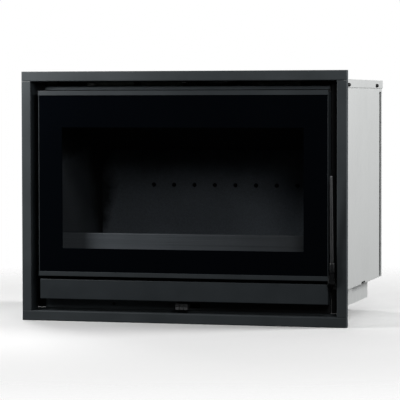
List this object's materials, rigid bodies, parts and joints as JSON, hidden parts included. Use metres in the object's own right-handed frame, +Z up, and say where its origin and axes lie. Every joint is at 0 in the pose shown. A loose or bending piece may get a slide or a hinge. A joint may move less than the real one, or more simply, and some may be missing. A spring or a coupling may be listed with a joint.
{
  "type": "fireplace insert",
  "caption": "Steel fireplace insert with a glazed, latched door, lever handle, ash drawer, air control, slim surround and galvanised convection casing.",
  "frame": {"origin": "middle of the footprint, on the floor the levelling feet stand on", "axes": "+Z up; -Y is the glazed front; +X is to the viewer's right, the side of the handle"},
  "size_m": [0.78, 0.5314, 0.586],
  "materials": {
    "surround_paint": "satin",
    "door_paint": "satin",
    "body_paint": "matte",
    "galvanised_steel": "satin",
    "cast_iron": "matte",
    "lining": "matte",
    "guard_steel": "matte",
    "handle_steel": "satin",
    "tab_steel": "satin",
    "black_steel": "matte",
    "zinc_steel": "satin",
    "sealing_rope": "matte",
    "ceramic_glass": "gloss"
  },
  "bodies": {
    "body": {"air_slider_guide": "body_paint", "ash_box": "body_paint", "baffle": "lining", "casing_back": "galvanised_steel", "casing_bolt_front_left": "black_steel", "casing_bolt_front_right": "black_steel", "casing_bolt_rear_left": "black_steel", "casing_bolt_rear_right": "black_steel", "casing_floor": "galvanised_steel", "casing_side_left": "galvanised_steel", "casing_side_right": "galvanised_steel", "casing_top": "galvanised_steel", "firebox_back": "body_paint", "firebox_floor": "body_paint", "firebox_front": "body_paint", "firebox_side_left": "body_paint", "firebox_side_right": "body_paint", "firebox_top": "body_paint", "flue_collar": "cast_iron", "grate": "cast_iron", "hearth_slab": "cast_iron", "hinge_bracket_lower": "black_steel", "hinge_bracket_upper": "black_steel", "hot_air_deflector": "surround_paint", "hot_air_outlet_grille": "body_paint", "latch_keeper": "zinc_steel", "levelling_foot_front_left": "black_steel", "levelling_foot_front_right": "black_steel", "levelling_foot_rear_left": "black_steel", "levelling_foot_rear_right": "black_steel", "lining_back": "lining", "lining_side_left": "lining", "lining_side_right": "lining", "log_guard": "guard_steel", "lower_box": "galvanised_steel", "rear_air_duct": "body_paint", "surround_bottom": "surround_paint", "surround_left": "surround_paint", "surround_right": "surround_paint", "surround_support_left": "body_paint", "surround_support_right": "body_paint", "surround_top": "surround_paint"},
    "door": {"door_frame": "door_paint", "door_rail_top": "door_paint", "door_rail_bottom": "door_paint", "door_glass": "ceramic_glass", "glass_gasket": "sealing_rope", "door_seal": "sealing_rope", "hinge_block_upper": "black_steel", "hinge_block_lower": "black_steel", "latch_bracket": "black_steel"},
    "handle": {"latch_lever": "black_steel", "handle_collar": "handle_steel", "handle_rod": "handle_steel"},
    "air_control": {"air_slider": "body_paint", "air_control_tab": "tab_steel"},
    "ash_drawer": {"ash_drawer_front": "surround_paint", "ash_pan": "galvanised_steel"}
  },
  "joints": [
    {"name": "door_hinge", "type": "hinge", "parent": "body", "child": "door", "pos_m": [-0.337, -0.23211, 0.3233], "axis": [0, 0, -1], "range_deg": [0, 100]},
    {"name": "handle_pivot", "type": "hinge", "parent": "door", "child": "handle", "pos_m": [0.3573, -0.24611, 0.102], "axis": [1, 0, 0], "range_deg": [0, 25]},
    {"name": "air_control_slide", "type": "slide", "parent": "body", "child": "air_control", "axis": [1, 0, 0], "range_m": [0, 0.024]},
    {"name": "ash_drawer_slide", "type": "slide", "parent": "body", "child": "ash_drawer", "axis": [0, -1, 0], "range_m": [0, 0.28]}
  ]
}
